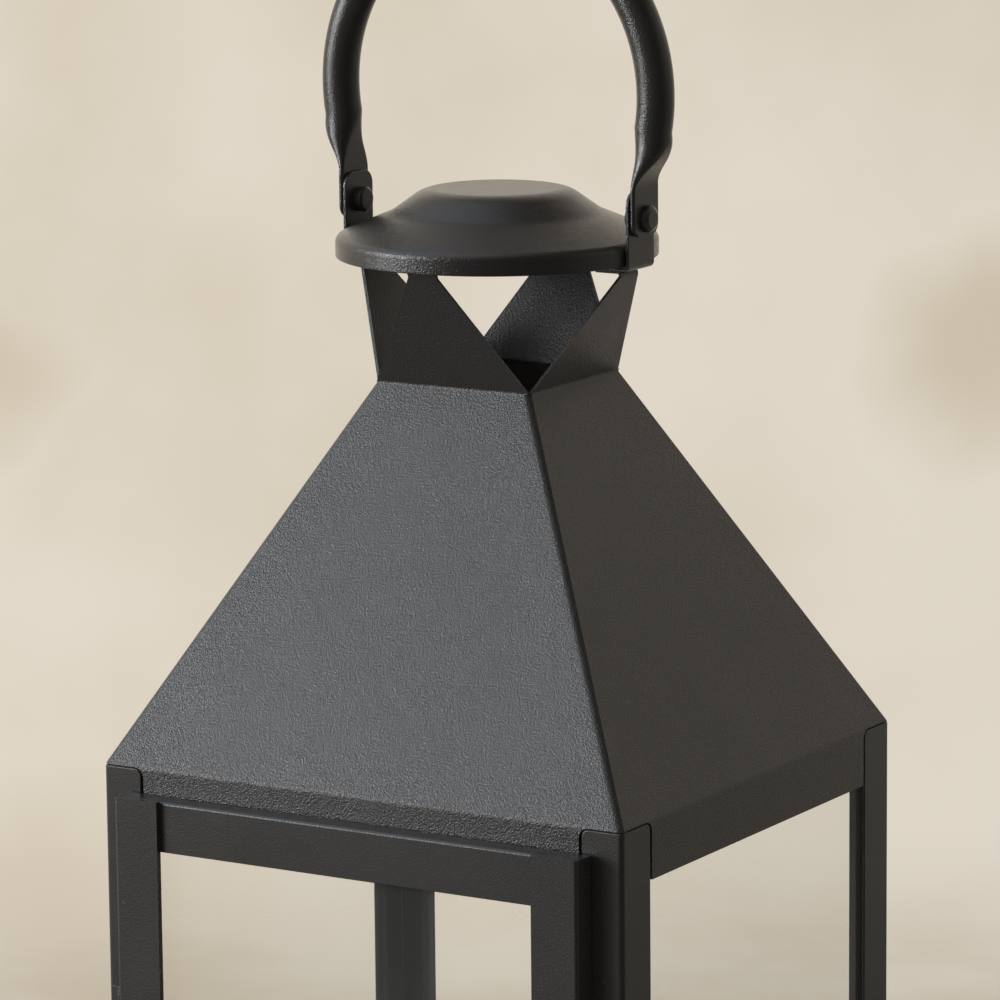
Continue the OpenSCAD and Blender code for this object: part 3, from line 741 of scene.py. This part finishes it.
def camera():
    """The photograph's view: a long lens from the right of the door, a little above the eave."""
    azimuth, elevation, roll = (
        math.radians(angle) for angle in (CAMERA_AZIMUTH, CAMERA_ELEVATION, CAMERA_ROLL)
    )
    back = direction(azimuth, elevation)
    level = Vector((math.cos(azimuth), math.sin(azimuth), 0))
    upright = back.cross(level)
    across = level * math.cos(roll) + upright * math.sin(roll)
    up = upright * math.cos(roll) - level * math.sin(roll)
    pose = Matrix((across, up, back)).transposed().to_4x4()
    pose.translation = Vector(CAMERA_PLACE)
    data = bpy.data.cameras.new("camera")
    data.sensor_width = 36
    data.lens = CAMERA_LENS
    data.clip_end = 50
    made = bpy.data.objects.new("camera", data)
    made.matrix_world = pose
    SCENE.collection.objects.link(made)
    SCENE.camera = made


# The window's direction in degrees, its size and distance, its brightness and its colour
WINDOW_AZIMUTH, WINDOW_ELEVATION = -50, 11.5
WINDOW_WIDTH, WINDOW_HEIGHT, WINDOW_DISTANCE = 2.4, 1.95, 4.5
WINDOW_RADIANCE = 13.0
WINDOW_COLOUR = (0.95, 0.97, 1.0)
WINDOW_AIM = (0, 0, 0.36)


def window():
    """A wide soft light left of the door that faces the lantern."""
    data = bpy.data.lights.new("wide_window", "AREA")
    data.shape = "RECTANGLE"
    data.size = WINDOW_WIDTH
    data.size_y = WINDOW_HEIGHT
    data.energy = WINDOW_RADIANCE * math.pi * WINDOW_WIDTH * WINDOW_HEIGHT
    data.color = WINDOW_COLOUR
    made = bpy.data.objects.new("wide_window", data)
    back = direction(math.radians(WINDOW_AZIMUTH), math.radians(WINDOW_ELEVATION))
    made.rotation_mode = "QUATERNION"
    made.rotation_quaternion = back.to_track_quat("Z", "Y")
    made.location = Vector(WINDOW_AIM) + back * WINDOW_DISTANCE
    made.visible_camera = False
    SCENE.collection.objects.link(made)


# Colours of the wall, of its stains, and of the even light that other surfaces get
WALL_LIGHT = (0.712, 0.650, 0.560)
WALL_DEEP = (0.590, 0.515, 0.395)
PLAIN_LIGHT = (0.60, 0.585, 0.56)

# Browner stains on the wall: the way to each, and how far it spreads
WALL_STAINS = (
    ((-0.590, 0.792, -0.153), 0.036),
    ((-0.574, 0.777, -0.258), 0.050),
    ((-0.435, 0.888, -0.149), 0.026),
)

# How light the walls are: their least on the near side, what the far side and the near left add,
# and what goes from left to right
NEAR_LEVEL = 0.24
FAR_GAIN = 0.64
NEAR_LEFT_GAIN = 0.26
RIGHT_LOSS = 0.35

# Shade on the right side and how much of it is absent higher up,
# light added above the horizon, and shade on the ceiling
RIGHT_SHADE = 0.34
HIGH_RELIEF = 0.17
UPPER_GAIN = 0.21
CEILING_SHADE = 0.8

# Least level at which the camera sees the walls, whichever way it looks
BACKDROP_LEVEL = 0.9

# The glow of the ceiling on the window's side: its direction, and its colour at its brightest
GLOW_WAY = (-0.497, -0.287, 0.819)
GLOW_LIGHT = (1.15, 1.24, 1.40)


def room():
    """A pale mottled room, dark behind the camera, with a glow high on the window's side.
    Lit surfaces get a plain even level from it."""
    world = bpy.data.worlds.new("room")
    SCENE.world = world
    g = Graph(world)
    way = g.add("TexCoord", "Generated")
    across, depth, height = g.parts(way)
    blotches = g.noise(way, 0.055, 3, 3.1)
    patches = g.noise(way, 0.16, 2, 6.4)
    mottle = g.step(blotches * 0.45 + patches * 0.55, 0.40, 0.70) * 0.75
    for place, reach in WALL_STAINS:
        away = g.add("VectorMath", "Value", {0: way, 1: place}, operation="DISTANCE")
        uneven = away + (blotches - 0.5) * 0.05
        mottle = g.maths("MAXIMUM", mottle, 1 - g.step(uneven, 0.0, reach), clamp=True)
    wall = g.mix(mottle, WALL_LIGHT, WALL_DEEP)
    level = g.step(depth, -0.3, 0.5) * FAR_GAIN + NEAR_LEVEL - RIGHT_LOSS * across
    near_left = g.step(0 - across, 0.0, 0.55) * (1 - g.step(depth, -0.5, 0.2))
    level = level + near_left * NEAR_LEFT_GAIN
    right = g.step(across, -0.1, 0.4)
    relief = g.step(height, -0.15, 0.25) * HIGH_RELIEF
    level = level * (1 - right * (RIGHT_SHADE - relief))
    upper = g.step(height, 0.0, 0.15)
    ceiling = g.step(height, 0.42, 0.72)
    level = level * (1 + upper * UPPER_GAIN) * (1 - ceiling * CEILING_SHADE)
    path = g.add("LightPath").output.node.outputs
    seen = [Socket(g, path[name]) for name in ("Is Camera Ray", "Is Glossy Ray", "Is Transmission Ray")]
    level = g.maths("MAXIMUM", level, seen[0] * BACKDROP_LEVEL)
    towards = g.add("VectorMath", "Value", {0: way, 1: GLOW_WAY}, operation="DOT_PRODUCT")
    glow = g.step(towards, 0.64, 0.97)
    lit_wall = g.mix(glow, g.tint(wall, level), GLOW_LIGHT)
    shown = g.maths("MAXIMUM", g.maths("MAXIMUM", seen[0], seen[1]), seen[2])
    colour = g.mix(shown, PLAIN_LIGHT, lit_wall)
    g.surface(g.add("Background", sockets={"Color": colour}), "OutputWorld")


# The floor's radius, where it starts and ends to fade, and how dark it is to all but the camera
FLOOR_R = 1.4
FADE_START, FADE_END = 0.55, 1.15
FLOOR_SHADE = 0.3


def floor():
    """A pale disc under the lantern that fades into the room."""
    bm = bmesh.new()
    bmesh.ops.create_circle(bm, cap_ends=True, segments=96, radius=FLOOR_R)
    mesh = bpy.data.meshes.new("floor")
    bm.to_mesh(mesh)
    bm.free()
    made = bpy.data.objects.new("floor", mesh)
    SCENE.collection.objects.link(made)
    material, g = material_graph("floor")
    place = g.add("TexCoord", "Object")
    reach = g.add("VectorMath", "Value", {0: place}, operation="LENGTH")
    mottle = g.step(g.noise(place, 0.13, 3, 1.7), 0.35, 0.7)
    seen = g.add("LightPath", "Is Camera Ray")
    pale = g.mix(mottle, WALL_LIGHT, WALL_DEEP)
    shown = g.mix(seen, g.tint(pale, FLOOR_SHADE), pale)
    solid = g.add("BsdfPrincipled", sockets={"Base Color": shown, "Roughness": 0.8})
    gone = g.add("BsdfTransparent")
    g.surface(g.add("MixShader", sockets={0: g.step(reach, FADE_START, FADE_END), 1: solid, 2: gone}))
    mesh.materials.append(material)


camera()
window()
room()
floor()
SCENE.view_settings.view_transform = "Standard"
